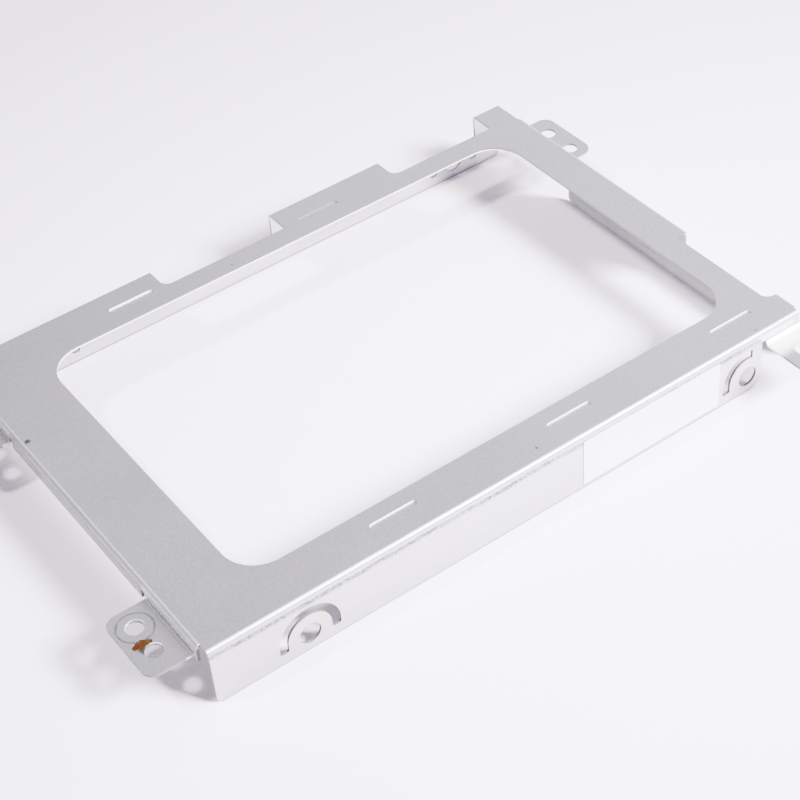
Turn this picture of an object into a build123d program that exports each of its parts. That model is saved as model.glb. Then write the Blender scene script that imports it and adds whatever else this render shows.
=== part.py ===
"""Laptop hard drive caddy for a 2.5 inch drive, folded from one galvanised steel sheet.

X runs along the drive and Y across it. The origin lies on the resting plane, midway
between the four drive screws, and Z points up towards the plate that covers the drive.
"""

import os

from build123d import *

# Driving dimensions in millimetres
sheet = 0.4
bend_inner = 0.3
wall_height = 9.9
bay_width = 70.3

# Drive screws, on each side wall, with the margin from the last one to the near wall's end
screw_spacing = 76.6
screw_drop = 6.5
screw_bore = 3.4
screw_margin = 2.6

# Reach of the sheet from the origin
left_reach = 53.55
right_reach = 48.8

# Rim of the plate round its window, measured from the sheet's reach on each side
left_rim = 11.0
right_rim = 6.65
near_rim = 7.75
far_rim = 8.45
window_corner = 5.5

# Reliefs that cut the plate's edge and the upper part of a wall
relief_drop = 4.4
relief_fillet = 1.5
relief_corner = 0.4
far_relief_depth = 4.85
long_relief_start = -19.7
long_relief_end = 2.3
ear_relief_start = 23.3
right_relief_depth = 2.3
right_relief_start = -30.4
right_relief_end = -10.7

# Lip, and the ends of it and of the walls
lip_drop = 2.9
wall_end_inset = 0.65
corner_gap = 1.6
lip_gap = 2.05
wall_corner = 1.2
near_wall_corner = 2.0

# Horseshoe slots that free an ear round each drive screw
ear_radius = 4.1
ear_slot = 1.4
ear_leg = 1.2
ear_leg_corner = 0.4
short_slot_end = 0.8

# Mounting tabs, stepped down from the plate
tab_drop = 2.3
tab_length = 12.0
tab_corner = 1.8
tab_bore = 2.5
side_slit = 0.5
end_slit = 0.6
lip_relief = 1.0
left_tab_reach = 6.65
right_tab_reach = 5.3
near_tab_middle = -26.6
far_tab_middle = 23.7
left_bore_reach = 3.65
right_bore_reach = 2.5
left_screw_offset = 2.55
left_peg_offset = 2.35
right_screw_offset = 2.2
right_peg_offset = 3.4
end_tab_width = 6.6
end_tab_reach = 8.15
end_bore_reach = 4.35
end_tab_corner = 1.2
end_tab_bend = 1.0

# Shallow pads pressed down towards the drive
pad_length = 7.6
pad_width = 1.0
pad_depth = 0.18
pad_inset = 4.65
near_pad_middles = (-21.1, 8.9, 39.0)
far_pad_middles = (-25.4, 8.8)

# Paper label on the near wall
label_length = 25.1
label_height = 8.0
label_paper = 0.1
label_middle = 20.1
label_drop = 1.1

# Sizes that follow from those above
bend_outer = bend_inner + sheet
half_width = bay_width / 2 + sheet
underside = wall_height - sheet
screw_height = underside - screw_drop
tab_top = wall_height - tab_drop
left_fold = -left_reach + bend_outer
right_fold = right_reach - bend_outer
side_fold = half_width - bend_outer
wall_start = -left_reach + wall_end_inset
end_tab_start = right_fold - end_tab_width
near_wall_end = end_tab_start - end_slit
right_screw = near_wall_end - screw_margin
left_screw = right_screw - screw_spacing
right_wall_start = -half_width + corner_gap
right_wall_end = far_tab_middle - tab_length / 2 - side_slit
ear_relief_end = right_screw + ear_radius + ear_slot / 2
window_left = left_rim - left_reach
window_right = right_reach - right_rim
window_near = near_rim - half_width
window_far = half_width - far_rim


def folded_wall(plane, drop):
    """Section of a fold that ends as a wall or lip, with its lower edge drop below the plate's top.

    The section's x runs outwards from the start of the fold, and its y is the height.
    """
    foot = wall_height - drop
    with BuildSketch(plane) as section:
        with BuildLine():
            FilletPolyline(
                (0, wall_height),
                (bend_outer, wall_height),
                (bend_outer, foot),
                (bend_inner, foot),
                (bend_inner, underside),
                (0, underside),
                radius=[0, bend_outer, 0, 0, bend_inner, 0],
                close=True,
            )
        make_face()
    return section.sketch


def stepped_tab(plane, reach, foot_bend):
    """Section of a tab that steps down from the plate and then runs outwards by reach.

    foot_bend is the radius of the hollow where the step turns outwards.
    """
    tip = bend_outer + reach
    tab_underside = tab_top - sheet
    with BuildSketch(plane) as section:
        with BuildLine():
            FilletPolyline(
                (0, wall_height),
                (bend_outer, wall_height),
                (bend_outer, tab_top),
                (tip, tab_top),
                (tip, tab_underside),
                (bend_inner, tab_underside),
                (bend_inner, underside),
                (0, underside),
                radius=[0, bend_outer, foot_bend, 0, 0, foot_bend + sheet, bend_inner, 0],
                close=True,
            )
        make_face()
    return section.sketch


def relief_outline(plane, length, depth):
    """Plan of a relief, with its open side up and a wide curve at its first inner corner.

    It straddles the plane's x axis, which lies on the wall's outer face.
    """
    overrun = 2 * sheet
    with BuildSketch(plane) as outline:
        with BuildLine():
            FilletPolyline(
                (0, overrun),
                (0, -depth),
                (length, -depth),
                (length, overrun),
                radius=[0, relief_fillet, relief_corner, 0],
                close=True,
            )
        make_face()
    return outline.sketch


def horseshoe(right_end):
    """Outline of the slot over a drive screw, about the screw's own centre.

    right_end is None for two legs. Otherwise the arch stops there, with no second leg.
    """
    with BuildSketch() as outline:
        Circle(ear_radius + ear_slot / 2)
        Circle(ear_radius - ear_slot / 2, mode=Mode.SUBTRACT)
        Rectangle(3 * ear_radius, 3 * ear_radius, align=(Align.CENTER, Align.MAX), mode=Mode.SUBTRACT)
        with Locations((-ear_radius, 0), (ear_radius, 0)):
            Rectangle(ear_slot, ear_leg, align=(Align.CENTER, Align.MAX))
        if right_end is not None:
            with Locations((right_end, 0)):
                Rectangle(
                    3 * ear_radius, 6 * ear_radius, align=(Align.MIN, Align.CENTER), mode=Mode.SUBTRACT
                )
        leg_ends = outline.vertices().group_by(Axis.Y)[0]
        fillet(leg_ends, radius=ear_leg_corner)
    return outline.sketch


with BuildPart() as bracket:
    # Plate that covers the drive
    with BuildSketch(Plane.XY.offset(underside)):
        with Locations((left_fold, 0)):
            Rectangle(right_fold - left_fold, 2 * side_fold, align=(Align.MIN, Align.CENTER))
    extrude(amount=sheet)

    # Near wall, with a wider curve at the end beside its tab
    near_plane = Plane((near_wall_end, -side_fold, 0), x_dir=(0, -1, 0), z_dir=(-1, 0, 0))
    extrude(folded_wall(near_plane, wall_height), amount=near_wall_end - wall_start)
    for end, radius in ((-1, near_wall_corner), (0, wall_corner)):
        feet = bracket.edges().group_by(Axis.Z)[0].filter_by(Axis.Y)
        fillet(feet.sort_by(Axis.X)[end], radius=radius)

    # Far wall, up to the end of the plate
    far_plane = Plane((wall_start, side_fold, 0), x_dir=(0, 1, 0), z_dir=(1, 0, 0))
    extrude(folded_wall(far_plane, wall_height), amount=right_fold - wall_start)
    feet = bracket.edges().group_by(Axis.Z)[0].filter_by(Axis.Y)
    fillet(feet.sort_by(Axis.Y)[-2:], radius=wall_corner)

    # Right wall, between the near corner and the tab
    right_plane = Plane((right_fold, right_wall_end, 0), x_dir=(1, 0, 0), z_dir=(0, -1, 0))
    extrude(folded_wall(right_plane, wall_height), amount=right_wall_end - right_wall_start)
    feet = bracket.edges().group_by(Axis.Z)[0].filter_by(Axis.X)
    fillet(feet.sort_by(SortBy.LENGTH)[:2], radius=wall_corner)

    # Short lip along the connector end, in three runs with a mounting tab between them
    lip_end = half_width - lip_gap
    lip_starts = (-lip_end, near_tab_middle + tab_length / 2, far_tab_middle + tab_length / 2)
    lip_ends = (near_tab_middle - tab_length / 2, far_tab_middle - tab_length / 2, lip_end)
    for start, end in zip(lip_starts, lip_ends):
        lip_plane = Plane((left_fold, start, 0), x_dir=(-1, 0, 0), z_dir=(0, 1, 0))
        extrude(folded_wall(lip_plane, lip_drop), amount=end - start)
    for middle in (near_tab_middle, far_tab_middle):
        tab_plane = Plane((left_fold, middle - tab_length / 2, 0), x_dir=(-1, 0, 0), z_dir=(0, 1, 0))
        extrude(stepped_tab(tab_plane, left_tab_reach, bend_inner), amount=tab_length)

    # Mounting tabs on the right wall and beyond the near wall's end
    tab_plane = Plane((right_fold, far_tab_middle + tab_length / 2, 0), x_dir=(1, 0, 0), z_dir=(0, -1, 0))
    extrude(stepped_tab(tab_plane, right_tab_reach, bend_inner), amount=tab_length + side_slit)
    tab_plane = Plane((right_fold, -side_fold, 0), x_dir=(0, -1, 0), z_dir=(-1, 0, 0))
    extrude(stepped_tab(tab_plane, end_tab_reach, end_tab_bend), amount=end_tab_width + end_slit)

    # Slits that part the tabs from the walls beside them, below the fold
    end_slit_top = tab_top + end_slit
    with BuildSketch(Plane.XY.offset(end_slit_top)):
        with Locations((near_wall_end, -half_width)):
            Rectangle(end_slit, 2 * end_tab_reach, align=(Align.MIN, Align.CENTER))
    extrude(amount=-end_slit_top, mode=Mode.SUBTRACT)
    slit_top = wall_height - bend_outer - side_slit
    with BuildSketch(Plane.XY.offset(slit_top)):
        with Locations((right_reach, right_wall_end)):
            Rectangle(2 * right_tab_reach, side_slit, align=(Align.CENTER, Align.MIN))
    extrude(amount=-slit_top, mode=Mode.SUBTRACT)

    # Relief notches in the lip, on the tabs' sides that face each other
    with BuildSketch(Plane.XY.offset(slit_top)):
        for middle, side in ((near_tab_middle, 1), (far_tab_middle, -1)):
            with Locations((-left_reach, middle + side * (tab_length + lip_relief) / 2)):
                Rectangle(4 * sheet, lip_relief)
    extrude(amount=-slit_top, mode=Mode.SUBTRACT)

    # Rounded tips of the tabs
    upright = bracket.edges().filter_by(Axis.Z)
    fillet(upright.group_by(Axis.X)[0] + upright.group_by(Axis.X)[-1], radius=tab_corner)
    end_tips = bracket.edges().filter_by(Axis.Z).group_by(Axis.Y)[0]
    fillet(end_tips, radius=end_tab_corner)

    # Screw and peg holes of the tabs
    left_bore_x = -left_reach - left_bore_reach
    right_bore_x = right_reach + right_bore_reach
    with Locations(
        (left_bore_x, near_tab_middle + left_screw_offset, tab_top),
        (left_bore_x, near_tab_middle - left_peg_offset, tab_top),
        (left_bore_x, far_tab_middle - left_screw_offset, tab_top),
        (left_bore_x, far_tab_middle + left_peg_offset, tab_top),
        (right_bore_x, far_tab_middle + right_screw_offset, tab_top),
        (right_bore_x, far_tab_middle - right_peg_offset, tab_top),
        ((end_tab_start + right_fold) / 2, -half_width - end_bore_reach, tab_top),
    ):
        Hole(radius=tab_bore / 2, depth=2 * sheet)

    # Window through the plate
    with BuildSketch(Plane.XY.offset(wall_height)):
        with Locations(((window_left + window_right) / 2, (window_near + window_far) / 2)):
            RectangleRounded(window_right - window_left, window_far - window_near, window_corner)
    extrude(amount=-2 * sheet, mode=Mode.SUBTRACT)

    # Reliefs along the far and the right edge
    for start, end in ((long_relief_start, long_relief_end), (ear_relief_start, ear_relief_end)):
        relief_plane = Plane((start, half_width, wall_height), x_dir=(1, 0, 0), z_dir=(0, 0, 1))
        relief = relief_outline(relief_plane, end - start, far_relief_depth)
        extrude(relief, amount=-relief_drop, mode=Mode.SUBTRACT)
    relief_plane = Plane((right_reach, right_relief_start, wall_height), x_dir=(0, 1, 0), z_dir=(0, 0, -1))
    relief = relief_outline(relief_plane, right_relief_end - right_relief_start, right_relief_depth)
    extrude(relief, amount=relief_drop, mode=Mode.SUBTRACT)

    # Drive screw holes and the horseshoe slots that make their ears springy
    for wall_plane, second_end in (
        (Plane.XZ.offset(half_width), short_slot_end),
        (Plane.XZ.offset(-half_width), None),
    ):
        with BuildSketch(wall_plane):
            for screw, right_end in ((left_screw, None), (right_screw, second_end)):
                with Locations((screw, screw_height)):
                    Circle(screw_bore / 2)
                    add(horseshoe(right_end))
        extrude(amount=2 * sheet, both=True, mode=Mode.SUBTRACT)

    # Pads pressed down towards the drive: a hollow above, the same form raised below
    pad_places = [(middle, pad_inset - half_width) for middle in near_pad_middles]
    pad_places += [(middle, half_width - pad_inset) for middle in far_pad_middles]
    for top, mode in ((wall_height, Mode.SUBTRACT), (underside, Mode.ADD)):
        with BuildSketch(Plane.XY.offset(top)):
            with Locations(*pad_places):
                SlotOverall(pad_length, pad_width)
        extrude(amount=-pad_depth, mode=mode)


# Paper label, face to face with the near wall
with BuildPart() as paper_label:
    with BuildSketch(Plane.XZ.offset(half_width)):
        with Locations((label_middle, wall_height - label_drop)):
            Rectangle(label_length, label_height, align=(Align.CENTER, Align.MAX))
    extrude(amount=label_paper)

bracket.part.label = "bracket"
paper_label.part.label = "paper_label"

os.makedirs("parts", exist_ok=True)
export_step(bracket.part, "parts/bracket.step")
export_step(paper_label.part, "parts/paper_label.step")
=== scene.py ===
import math

import bpy
from mathutils import Euler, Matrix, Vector

MM = 0.001

# The sheet and its faces, in millimetres in the part's frame
SHEET = 0.4
HALF_SHEET = SHEET / 2
PLATE_TOP = 9.9
TAB_TOP = 7.6
SIDE_FACE = 35.55
NEAR_FACE = -SIDE_FACE
LEFT_FACE = -53.55
RIGHT_FACE = 48.8
# Height where the bends meet the walls, and how far out from the walls the tabs lie flat
BEND_FOOT = 9.2
TAB_START = 1.1
# The connector end's tabs: y midway between them, and how far off it they start
TABS_MIDDLE = -1.45
TABS_START = (18.0, 19.0)
# Where the painted highlight on the end tab grows from nothing to its full strength
END_TAB_HIGHLIGHT_Y = (-40.0, -37.6)

# The near tab's holes, with the radius of their rims and of the screw head's mark, and the
# x and y beyond which the rims carry a painted highlight
SCREW_HOLE = (-57.15, -24.1)
SCREW_RING_RADIUS = 2.53
SCREW_RIM_RADIUS = 1.36
SCREW_RIM_Y = -24.0
PEG_HOLE = (-57.2, -28.95)
PEG_RIM_RADIUS = 1.35
PEG_RIM_X = -57.4
PEG_RIM_Y = -28.7

# Rust between those holes, and its dark part: middle, and how each axis is weighed
RUST_SPOT = (-57.95, -27.1, (0.72, 1.25))
DARK_SPOT = (-58.25, -27.95, (1.0, 1.2))
# How far its outline wanders, and where it turns from red to yellow
RUST_RAGGEDNESS = 0.30
RUST_TURN_X = (-57.9, -57.0)

# Limits inside which the window's far side and the pads carry a painted highlight
WINDOW_GLINT_Y = 20.0
NEAR_PADS_Y = -26.0
NEAR_PADS_END_X = 43.0
FAR_PAD_Y = 29.0
FAR_PAD_END_X = -20.0

# The rubbed line under the near fold: its height, and where it fades out
WEAR_HEIGHT = 8.7
WEAR_END_X = 40.0

# Dark specks on the plate: x, y, radius in millimetres, and how strong they are
SPECKS = (
    (-52.3, 13.6, 0.60, 0.85),
    (-9.0, 28.3, 0.26, 0.5),
    (2.8, 30.6, 0.22, 0.45),
    (1.3, -33.2, 0.36, 0.8),
    (40.6, -34.4, 0.28, 0.6),
)

# Heights of the painted shade's dark line on the lip, and of where the painted shade starts or ends
# elsewhere
LIP_LINE_Z = 8.9
LEFT_FOLD_Z = 9.7
NEAR_FOLD_Z = 9.45
TAB_FOOT_Z = 8.0
WALL_FOOT_Z = 0.35
# The near wall's painted shade, darker to the left and downwards: where it starts to fade, where it
# ends, and its strength
NEAR_WALL_SHADE_X = (-50.0, 5.0, 0.15)
NEAR_WALL_SHADE_Z = (0.0, 8.0, 0.12)
# The painted shade inside the right wall, left off towards its lower edge: where it starts to grow,
# where it is full, and its strength
INSIDE_SHADE_Z = (0.3, 2.4)
INSIDE_SHADE_STRENGTH = 0.7

# How strong the painted shade is in each place, and how strong the marks are
PAINTED_SHADE_STRENGTH = {"lip": 0.85, "left_fold": 0.8, "near_fold": 0.87, "tab_foot": 0.6, "wall_foot": 0.6}
WEAR_STRENGTH = 0.95
RING_STRENGTH = 0.8

# The share of each place that scatters light as bare metal doesn't, how much duller that
# makes it, and how much duller the folds are
DIFFUSE = {"cut": 0.8, "end_tab_highlight": 0.55, "inside_right": 0.8, "rim_highlights": 0.25}
DIFFUSE_DULLNESS = 0.35
FOLD_DULLNESS = 0.20

# Height of the zinc's and the paper's grain and of the dirt, in metres, and how strongly
# they show
COAT_HEIGHT = 0.01 * MM
DIRT_HEIGHT = 0.02 * MM
STEEL_BUMP = 0.5
PAPER_BUMP = 0.4

# Colours of the steel and of what is on it
ZINC_DULL = (0.50, 0.49, 0.515, 1)
ZINC_BRIGHT = (0.65, 0.635, 0.665, 1)
SPANGLE_GREY = (0.49, 0.485, 0.51, 1)
# Grey of the painted shade on the lip, the folds, the tabs' feet and the walls' lower edges
PAINTED_SHADE_GREY = (0.12, 0.125, 0.125, 1)
# Grey of the painted shade inside the right wall
INSIDE_SHADE_GREY = (0.22, 0.235, 0.225, 1)
CUT_PLAIN = (0.21, 0.205, 0.215, 1)
# Bare steel of the cut edges with painted shade, for where they lie low or face the light
CUT_PAINTED_SHADE = (0.10, 0.098, 0.102, 1)
# White of the painted highlight on the cut edges
EDGE_HIGHLIGHT_WHITE = (0.93, 0.92, 0.94, 1)
# White of the painted highlight on the end tab
END_TAB_HIGHLIGHT_WHITE = (0.84, 0.83, 0.86, 1)
# White of the painted highlights on the near tab's hole rims
RIM_HIGHLIGHT_WHITE = (0.85, 0.84, 0.86, 1)
WEAR_BLACK = (0.07, 0.067, 0.07, 1)
RING_BROWN = (0.13, 0.135, 0.085, 1)
RUST_RED = (0.20, 0.078, 0.026, 1)
RUST_YELLOW = (0.20, 0.120, 0.032, 1)
RUST_GRAIN = (0.08, 0.03, 0.01, 1)
RUST_DARK = (0.07, 0.072, 0.04, 1)
DIRT_BLACK = (0.03, 0.028, 0.028, 1)

PAPER_DULL = (0.56, 0.545, 0.57, 1)
PAPER_BRIGHT = (0.60, 0.585, 0.61, 1)
PAPER_FIBRE = (0.50, 0.49, 0.51, 1)

# The floor's colour holds a painted pool of light: brightest at one place, and falls off by 1 / (1
# + r * r) round it
FLOOR_SIZE = 6.0
FLOOR_MIDDLE = (0.0237, -0.0371, 0.0)
FLOOR_FALLOFF = (5.45, 6.29, 0.0)
FLOOR_PEAK = 1.057
FLOOR_LEAST = 0.5
# Colours inside and outside the floor's painted pool of light
FLOOR_LIT = (0.670, 0.631, 0.684, 1)
FLOOR_UNLIT = (0.316, 0.291, 0.319, 1)

# Both lights stand this far from the origin, in metres
LIGHT_REACH = 1.2
LIGHT_COLOUR = (1.0, 0.96, 1.02)

# The room's colour along X, each with its place on the ramp
ROOM_LEFT = (0.15, (0.72, 0.69, 0.75, 1))
ROOM_RIGHT = (0.75, (2.7, 2.58, 2.8, 1))

# Camera of the photograph, in metres and degrees
SENSOR_WIDTH_MM = 36.0
LENS_MM = 87.56
CLIP_START = 0.01
CAMERA_PLACE = (-0.115167, -0.184036, 0.193849)
CAMERA_TURN = (47.5430, 3.9955, -35.9392)

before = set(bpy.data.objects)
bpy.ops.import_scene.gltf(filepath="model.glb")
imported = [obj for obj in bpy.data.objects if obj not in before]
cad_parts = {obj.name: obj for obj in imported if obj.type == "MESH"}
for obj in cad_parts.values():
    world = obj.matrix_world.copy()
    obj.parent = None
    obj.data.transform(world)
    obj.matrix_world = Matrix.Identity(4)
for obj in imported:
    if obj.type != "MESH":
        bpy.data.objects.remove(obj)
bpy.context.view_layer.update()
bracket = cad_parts["bracket"]
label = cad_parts["paper_label"]


class Nodes:
    """A material's node tree, with short calls for the nodes that it is built from."""

    def __init__(self, name):
        self.material = bpy.data.materials.new(name)
        self.material.use_nodes = True
        self.tree = self.material.node_tree
        self.shader = next(n for n in self.tree.nodes if n.type == "BSDF_PRINCIPLED")
        coordinates = self.add("ShaderNodeTexCoord")
        self.place = coordinates.outputs["Object"]
        self.normal = coordinates.outputs["Normal"]

    def add(self, kind, **values):
        node = self.tree.nodes.new(kind)
        for key, value in values.items():
            setattr(node, key, value)
        return node

    def feed(self, socket, value):
        """Link an output to a socket, or set the socket to a plain value."""
        if isinstance(value, bpy.types.NodeSocket):
            self.tree.links.new(value, socket)
        else:
            socket.default_value = value

    def math(self, operation, a, b=0.0):
        node = self.add("ShaderNodeMath", operation=operation)
        self.feed(node.inputs[0], a)
        self.feed(node.inputs[1], b)
        return node.outputs[0]

    def mapped(self, **values):
        """The place, moved and stretched."""
        mapping = self.add("ShaderNodeMapping")
        for name, value in values.items():
            mapping.inputs[name].default_value = value
        self.feed(mapping.inputs["Vector"], self.place)
        return mapping.outputs[0]

    def noise(self, scale, detail=2.0, rough=0.5, stretch=None):
        """Noise of one value, whose scale is given in cells per metre."""
        node = self.add("ShaderNodeTexNoise")
        self.feed(node.inputs["Vector"], self.mapped(Scale=stretch) if stretch else self.place)
        node.inputs["Scale"].default_value = scale
        node.inputs["Detail"].default_value = detail
        node.inputs["Roughness"].default_value = rough
        return node.outputs["Fac"]

    def ramp(self, value, low, high, out_low=0.0, out_high=1.0, smooth=True):
        """Carry a value's range low to high over to out_low to out_high."""
        node = self.add("ShaderNodeMapRange", clamp=True)
        node.interpolation_type = "SMOOTHSTEP" if smooth else "LINEAR"
        names = ("From Min", "From Max", "To Min", "To Max")
        for name, number in zip(names, (low, high, out_low, out_high)):
            node.inputs[name].default_value = number
        self.feed(node.inputs["Value"], value)
        return node.outputs[0]

    def vary(self, noise, low=0.0, high=1.0):
        """Carry the range that a noise mostly has over to low to high."""
        return self.ramp(noise, 0.3, 0.7, low, high)

    def mix(self, amount, a, b):
        """Colour a where amount is 0 and colour b where it is 1."""
        node = self.add("ShaderNodeMix", data_type="RGBA")
        self.feed(node.inputs["Factor"], amount)
        self.feed(node.inputs["A"], a)
        self.feed(node.inputs["B"], b)
        return node.outputs["Result"]

    def split(self, vector):
        node = self.add("ShaderNodeSeparateXYZ")
        self.feed(node.inputs[0], vector)
        return node.outputs

    def distance(self, point, scale):
        """Distance from a point in metres, with each axis weighed by scale."""
        off = self.mapped(Scale=scale, Location=[-p * s for p, s in zip(point, scale)])
        node = self.add("ShaderNodeVectorMath", operation="LENGTH")
        self.feed(node.inputs[0], off)
        return node.outputs["Value"]

    def bump(self, height, distance, strength, normal=None):
        node = self.add("ShaderNodeBump")
        node.inputs["Strength"].default_value = strength
        node.inputs["Distance"].default_value = distance
        self.feed(node.inputs["Height"], height)
        if normal is not None:
            self.feed(node.inputs["Normal"], normal)
        return node.outputs[0]


class Steel(Nodes):
    """Masks for the steel's looks, from 0 to 1, with places in the part's millimetres."""

    def __init__(self, name):
        super().__init__(name)
        self.x, self.y, self.z = (self.math("DIVIDE", axis, MM) for axis in self.split(self.place))
        self.width = self.math("ABSOLUTE", self.y)
        facing = self.split(self.normal)
        self.across = [self.math("ABSOLUTE", axis) for axis in facing]
        self.grain = self.noise(5200, detail=2, rough=0.6)
        self.spangle = self.noise(1700, detail=3, rough=0.6)
        self.blotch = self.noise(900, detail=3, rough=0.6)

        # Places that several looks share
        self.faces_near = self.below(facing[1], -0.6, soft=0.1)
        self.near_wall = self.line(self.y, NEAR_FACE, core=0.05, edge=0.1)
        self.inside_right = self.times(
            self.line(self.x, RIGHT_FACE - SHEET, core=0.1, edge=0.2), self.below(self.z, 9.3)
        )
        self.on_plate = self.line(self.z, PLATE_TOP, core=0.12, edge=0.25)
        self.on_tab = self.line(self.z, TAB_TOP, core=0.12, edge=0.25)

    def times(self, *masks):
        product = masks[0]
        for mask in masks[1:]:
            product = self.math("MULTIPLY", product, mask)
        return product

    def either(self, *masks):
        most = masks[0]
        for mask in masks[1:]:
            most = self.math("MAXIMUM", most, mask)
        return most

    def above(self, value, low, soft=0.04):
        """1 where a value is above a number, and 0 below it."""
        return self.ramp(value, low - soft, low + soft)

    def below(self, value, high, soft=0.04):
        """1 where a value is below a number, and 0 above it."""
        return self.fade(value, high - soft, high + soft)

    def fade(self, value, start, end, strength=1.0):
        """Strength up to the start, and 0 from the end on."""
        return self.ramp(value, start, end, strength, 0.0)

    def line(self, value, middle, core, edge):
        """1 within core of the middle, and 0 further off than edge."""
        return self.fade(self.math("ABSOLUTE", self.math("SUBTRACT", value, middle)), core, edge)

    def in_sheet(self, value, middle, core=0.0, edge=0.05):
        """1 through the thickness of sheet whose middle is at a number."""
        return self.line(value, middle, HALF_SHEET + core, HALF_SHEET + edge)

    def spot(self, x, y, stretch=(1.0, 1.0)):
        """Distance from a place on the XY plane, weighed along x and y."""
        return self.distance((x * MM, y * MM, 0.0), (stretch[0] / MM, stretch[1] / MM, 0.0))

    def fold(self):
        """The near and left folds."""
        near = self.below(self.y, NEAR_FACE + 0.6, soft=0.15)
        left = self.below(self.x, LEFT_FACE + 0.6, soft=0.15)
        return self.times(self.above(self.z, BEND_FOOT, soft=0.1), self.either(near, left))

    def painted_shade(self):
        """Painted shade: streaky on the lip, with dark lines on the lip, the folds and the tabs'
        feet, the near wall darker to the left and downwards, and a dark line along the side walls'
        lower edges."""
        x, y, z = self.x, self.y, self.z
        # Streaky painted shade over the lip, and a painted dark line along it
        lip = self.times(
            self.below(x, LEFT_FACE + 0.45, soft=0.08), self.above(x, LEFT_FACE - 0.5, soft=0.2)
        )
        off_middle = self.math("ABSOLUTE", self.math("SUBTRACT", y, TABS_MIDDLE))
        between_tabs = self.fade(off_middle, *TABS_START)
        streaky_lip_shade = self.noise(700, detail=3, rough=0.6, stretch=(1.0, 0.12, 1.6))
        streaky_lip_shade = self.ramp(streaky_lip_shade, 0.35, 0.65, 0.75, 1.0)
        streaky_lip_shade = self.times(lip, streaky_lip_shade, self.ramp(between_tabs, 0.0, 1.0, 0.25, 0.68))
        lip_line = self.line(z, LIP_LINE_Z, core=0.15, edge=0.5)
        lip_line = self.times(lip, between_tabs, lip_line, PAINTED_SHADE_STRENGTH["lip"])
        # Painted shade in the crease of the left fold
        left_fold = self.line(x, LEFT_FACE + 0.30, core=0.15, edge=0.3)
        left_fold = self.times(left_fold, self.above(z, LEFT_FOLD_Z), PAINTED_SHADE_STRENGTH["left_fold"])
        at_tabs = self.math("SUBTRACT", 1.0, between_tabs)
        # Painted shade at the tabs' feet
        tab_foot = self.line(x, LEFT_FACE - 0.2, core=0.08, edge=0.22)
        low = self.below(z, TAB_FOOT_Z, soft=0.1)
        tab_foot = self.times(tab_foot, low, at_tabs, PAINTED_SHADE_STRENGTH["tab_foot"])
        # Painted shade on the near fold, holding down its highlight
        near_fold = self.fade(y, NEAR_FACE + 0.18, NEAR_FACE + 0.42)
        high = self.above(z, NEAR_FOLD_Z, soft=0.15)
        near_fold = self.times(near_fold, high, PAINTED_SHADE_STRENGTH["near_fold"])
        # Painted shade on the near wall, darker to the left and downwards
        wall_shade = self.math("ADD", self.fade(x, *NEAR_WALL_SHADE_X), self.fade(z, *NEAR_WALL_SHADE_Z))
        wall_shade = self.times(self.near_wall, wall_shade)
        # Painted contact shade along the side walls' lower edges
        outside = self.line(self.width, SIDE_FACE, core=0.1, edge=0.2)
        far_inside = self.line(y, SIDE_FACE - SHEET, core=0.08, edge=0.16)
        wall_foot = self.times(
            self.below(z, WALL_FOOT_Z, soft=0.2),
            self.either(outside, far_inside),
            PAINTED_SHADE_STRENGTH["wall_foot"],
        )
        return self.either(streaky_lip_shade, lip_line, left_fold, tab_foot, near_fold, wall_shade, wall_foot)

    def cut_edges(self):
        """The sheet's cut edges, which have no zinc on them."""
        side_on = [self.below(axis, 0.35, soft=0.1) for axis in self.across]
        plate = self.times(side_on[2], self.above(self.z, PLATE_TOP - SHEET - 0.04))
        tabs = self.times(
            side_on[2], self.in_sheet(self.z, TAB_TOP - HALF_SHEET, core=0.02, edge=0.08)
        )
        beyond_walls = self.either(
            self.below(self.x, LEFT_FACE - TAB_START),
            self.above(self.x, RIGHT_FACE + TAB_START),
            self.below(self.y, NEAR_FACE - TAB_START),
        )
        on_wall = self.below(self.z, BEND_FOOT - 0.1)
        side_walls = self.in_sheet(self.width, SIDE_FACE - HALF_SHEET)
        end_walls = self.either(
            self.in_sheet(self.x, LEFT_FACE + HALF_SHEET),
            self.in_sheet(self.x, RIGHT_FACE - HALF_SHEET),
        )
        return self.either(
            plate,
            self.times(tabs, beyond_walls),
            self.times(side_on[1], on_wall, side_walls),
            self.times(side_on[0], on_wall, end_walls),
        )

    def painted_edge_highlight(self):
        """Painted highlight on the plate's cut edges that face the near side: the window's far side
        and most of the pads.
        """
        under_plate = self.line(self.z, PLATE_TOP - SHEET, core=0.12, edge=0.18)
        window = self.times(under_plate, self.above(self.y, WINDOW_GLINT_Y))
        near_pads = self.times(self.below(self.y, NEAR_PADS_Y), self.below(self.x, NEAR_PADS_END_X))
        far_pad = self.times(self.above(self.y, FAR_PAD_Y), self.below(self.x, FAR_PAD_END_X))
        pads = self.times(self.above(self.z, PLATE_TOP - 0.15), self.either(near_pads, far_pad))
        return self.times(self.faces_near, self.either(window, pads))

    def end_tab_highlight(self):
        """Painted highlight on the end tab, next to its fold."""
        return self.times(
            self.below(self.y, NEAR_FACE - 0.35, soft=0.15), self.ramp(self.y, *END_TAB_HIGHLIGHT_Y)
        )

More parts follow.
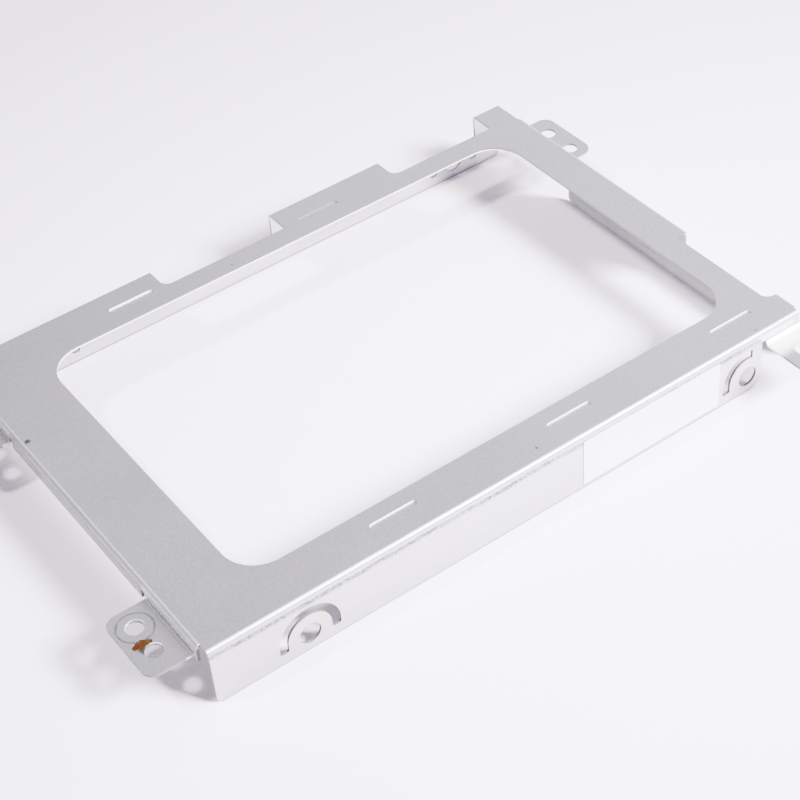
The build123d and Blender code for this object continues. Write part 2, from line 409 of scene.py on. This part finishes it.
    def wear(self):
        """Rubbed line of dark specks under the fold of the near wall."""
        wander = self.vary(self.noise(150, detail=3), -0.12, 0.12)
        off = self.math("SUBTRACT", self.math("ADD", self.z, wander), WEAR_HEIGHT)
        band = self.times(self.fade(off, 0.15, 0.6), self.ramp(off, -0.75, -0.05))
        speckle = self.ramp(self.noise(2400, detail=3, rough=0.7), 0.40, 0.56)
        patches = self.ramp(self.noise(300, detail=3), 0.36, 0.60, 0.5, 1.0)
        specks = self.ramp(self.times(speckle, patches), 0.0, 1.0, 0.45, 1.0)
        return self.times(band, self.near_wall, self.below(self.x, WEAR_END_X, soft=4.0), specks)

    def screw_radius(self):
        """Distance from the near tab's screw hole, a little uneven."""
        return self.math("ADD", self.spot(*SCREW_HOLE), self.vary(self.blotch, -0.05, 0.05))

    def screw_ring(self, radius):
        """Mark of a screw head."""
        ring = self.line(radius, SCREW_RING_RADIUS, core=0.05, edge=0.21)
        return self.times(ring, self.on_tab, self.ramp(self.blotch, 0.35, 0.6, 0.6, 1.0))

    def hole_rim_glints(self, radius):
        """Painted highlights on the far sides of the near tab's holes' rims."""
        peg = self.line(self.spot(*PEG_HOLE), PEG_RIM_RADIUS, core=0.02, edge=0.10)
        beyond_y = self.above(self.y, PEG_RIM_Y, soft=0.3)
        peg = self.times(peg, beyond_y, self.above(self.x, PEG_RIM_X, soft=0.3))
        screw = self.line(radius, SCREW_RIM_RADIUS, core=0.02, edge=0.10)
        broken = self.ramp(self.spangle, 0.45, 0.55, 0.3, 1.0)
        screw = self.times(screw, self.above(self.y, SCREW_RIM_Y, soft=0.6), broken)
        return self.times(self.either(screw, peg), self.on_tab)

    def rust(self):
        """Rust between the near tab's holes, and its dark part at the peg hole."""
        spread = self.vary(self.blotch, -RUST_RAGGEDNESS, RUST_RAGGEDNESS)
        bright = self.fade(self.math("ADD", self.spot(*RUST_SPOT), spread), 0.80, 0.98)
        dark = self.fade(self.math("ADD", self.spot(*DARK_SPOT), spread), 0.6, 1.0, 0.9)
        return self.times(bright, self.on_tab), self.times(dark, self.on_tab)

    def specks(self):
        """Specks of dirt on the plate."""
        masks = []
        for x, y, size, strength in SPECKS:
            uneven = self.vary(self.spangle, -0.15 * size, 0.15 * size)
            off = self.math("ADD", self.spot(x, y), uneven)
            masks.append(self.times(self.fade(off, 0.35 * size, size, strength), self.on_plate))
        return self.either(*masks)


def galvanised_steel():
    m = Steel("galvanised_steel")

    # Zinc coat: fine grain with a faint spangle, rubbed duller on the folds
    colour = m.mix(m.ramp(m.grain, 0.32, 0.68), ZINC_DULL, ZINC_BRIGHT)
    colour = m.mix(m.ramp(m.spangle, 0.35, 0.75, 0.0, 0.35), colour, SPANGLE_GREY)
    rough = m.math(
        "ADD", m.vary(m.noise(45, detail=2), 0.31, 0.35), m.vary(m.spangle, -0.015, 0.015)
    )
    rough = m.math("ADD", rough, m.math("MULTIPLY", m.fold(), FOLD_DULLNESS))

    # Painted shade on the lip, the folds, the tabs' feet and the walls' lower edges, and painted
    # shade inside the right wall that thins out towards its lower edge, where the wall gets least
    # light
    colour = m.mix(m.painted_shade(), colour, PAINTED_SHADE_GREY)
    wall_shade = m.ramp(m.z, *INSIDE_SHADE_Z, 0.0, INSIDE_SHADE_STRENGTH)
    colour = m.mix(m.times(m.inside_right, wall_shade), colour, INSIDE_SHADE_GREY)

    # Cut edges: bare steel, with painted shade where they lie low or face the light, and a painted
    # highlight on the window's far side and the pads
    cut = m.cut_edges()
    painted_cut_shade = m.either(m.below(m.z, TAB_TOP + 0.3), m.faces_near)
    colour = m.mix(cut, colour, m.mix(painted_cut_shade, CUT_PLAIN, CUT_PAINTED_SHADE))
    colour = m.mix(m.painted_edge_highlight(), colour, EDGE_HIGHLIGHT_WHITE)

    # Painted highlight on the end tab, next to its fold
    end_tab_highlight = m.end_tab_highlight()
    colour = m.mix(end_tab_highlight, colour, END_TAB_HIGHLIGHT_WHITE)
    wear = m.wear()
    colour = m.mix(m.times(wear, WEAR_STRENGTH), colour, WEAR_BLACK)

    # Marks round the near tab's holes, and painted highlights on their rims
    radius = m.screw_radius()
    ring = m.screw_ring(radius)
    colour = m.mix(m.times(ring, RING_STRENGTH), colour, RING_BROWN)
    rim_highlights = m.hole_rim_glints(radius)
    colour = m.mix(rim_highlights, colour, RIM_HIGHLIGHT_WHITE)

    rust, dark_rust = m.rust()
    colour = m.mix(dark_rust, colour, RUST_DARK)
    rust_colour = m.mix(m.ramp(m.x, *RUST_TURN_X), RUST_RED, RUST_YELLOW)
    rust_colour = m.mix(m.ramp(m.grain, 0.44, 0.62, 0.0, 0.7), rust_colour, RUST_GRAIN)
    colour = m.mix(rust, colour, rust_colour)

    specks = m.specks()
    colour = m.mix(specks, colour, DIRT_BLACK)

    diffuse = m.either(
        m.times(cut, DIFFUSE["cut"]),
        m.times(end_tab_highlight, DIFFUSE["end_tab_highlight"]),
        m.times(m.inside_right, DIFFUSE["inside_right"]),
        m.times(rim_highlights, DIFFUSE["rim_highlights"]),
    )
    rough = m.math("ADD", rough, m.math("MULTIPLY", diffuse, DIFFUSE_DULLNESS))
    m.feed(m.shader.inputs["Base Color"], colour)
    m.feed(m.shader.inputs["Roughness"], rough)
    m.feed(m.shader.inputs["Metallic"], m.math("SUBTRACT", 1.0, diffuse))

    coat = m.math("ADD", m.grain, m.math("MULTIPLY", m.spangle, 0.6))
    dirt = m.either(rust, dark_rust, ring, specks, wear)
    coat_normal = m.bump(coat, COAT_HEIGHT, STEEL_BUMP)
    m.feed(m.shader.inputs["Normal"], m.bump(dirt, DIRT_HEIGHT, STEEL_BUMP, coat_normal))
    return m.material


def label_paper():
    m = Nodes("label_paper")
    fibre = m.noise(2600, detail=4, rough=0.65)
    colour = m.mix(m.vary(m.noise(150, detail=2)), PAPER_DULL, PAPER_BRIGHT)
    colour = m.mix(m.ramp(fibre, 0.5, 0.8, 0.0, 0.3), colour, PAPER_FIBRE)
    m.feed(m.shader.inputs["Base Color"], colour)
    m.feed(m.shader.inputs["Roughness"], m.vary(fibre, 0.50, 0.62))
    m.feed(m.shader.inputs["Normal"], m.bump(fibre, COAT_HEIGHT, PAPER_BUMP))
    return m.material


def floor_material():
    """Pale floor with a painted pool of light, brightest near the part."""
    m = Nodes("studio_floor")
    r = m.distance(FLOOR_MIDDLE, FLOOR_FALLOFF)
    tone = m.math("DIVIDE", FLOOR_PEAK, m.math("ADD", 1.0, m.math("MULTIPLY", r, r)))
    shade = m.ramp(tone, FLOOR_LEAST, FLOOR_PEAK, smooth=False)
    m.feed(m.shader.inputs["Base Color"], m.mix(shade, FLOOR_UNLIT, FLOOR_LIT))
    m.shader.inputs["Roughness"].default_value = 0.9
    return m.material


def set_material(thing, material):
    for slot in thing.material_slots:
        slot.material = material
    if not thing.material_slots:
        thing.data.materials.append(material)


def soft_box(name, azimuth, elevation, spread, power):
    """A square light that shines on the object from a direction, spread degrees wide."""
    a, e = math.radians(azimuth), math.radians(elevation)
    towards = Vector((math.cos(e) * math.cos(a), math.cos(e) * math.sin(a), math.sin(e)))
    data = bpy.data.lights.new(name, "AREA")
    data.shape = "SQUARE"
    data.size = 2 * LIGHT_REACH * math.tan(math.radians(spread / 2))
    data.energy = power
    data.color = LIGHT_COLOUR
    light = bpy.data.objects.new(name, data)
    light.location = LIGHT_REACH * towards
    light.rotation_euler = towards.to_track_quat("Z", "Y").to_euler()
    bpy.context.collection.objects.link(light)


def light_room():
    """World light that is brighter towards +X than towards -X."""
    world = bpy.data.worlds.new("studio")
    world.use_nodes = True
    bpy.context.scene.world = world
    tree = world.node_tree
    direction = tree.nodes.new("ShaderNodeSeparateXYZ")
    shade = tree.nodes.new("ShaderNodeValToRGB")
    for stop, (position, colour) in zip(shade.color_ramp.elements, (ROOM_LEFT, ROOM_RIGHT)):
        stop.position = position
        stop.color = colour
    coordinates = tree.nodes.new("ShaderNodeTexCoord")
    background = next(n for n in tree.nodes if n.type == "BACKGROUND")
    background.inputs["Strength"].default_value = 1.0
    tree.links.new(coordinates.outputs["Generated"], direction.inputs[0])
    tree.links.new(direction.outputs[0], shade.inputs[0])
    tree.links.new(shade.outputs[0], background.inputs["Color"])


def place_camera():
    """Camera at the photograph's viewpoint."""
    data = bpy.data.cameras.new("camera")
    data.sensor_width = SENSOR_WIDTH_MM
    data.lens = LENS_MM
    data.clip_start = CLIP_START
    camera = bpy.data.objects.new("camera", data)
    camera.location = CAMERA_PLACE
    camera.rotation_euler = Euler([math.radians(angle) for angle in CAMERA_TURN], "XYZ")
    bpy.context.collection.objects.link(camera)
    bpy.context.scene.camera = camera


set_material(bracket, galvanised_steel())
set_material(label, label_paper())

# Floor, level with the walls' lower edges
bpy.ops.mesh.primitive_plane_add(size=FLOOR_SIZE, location=(0, 0, 0))
floor = bpy.context.object
floor.name = "studio_floor"
floor.data.materials.append(floor_material())

# Key light in front and to the right, and a weaker one behind to the left
soft_box("key", azimuth=-55, elevation=38, spread=17, power=200.0)
soft_box("back", azimuth=156, elevation=61, spread=6, power=34.0)
light_room()
place_camera()
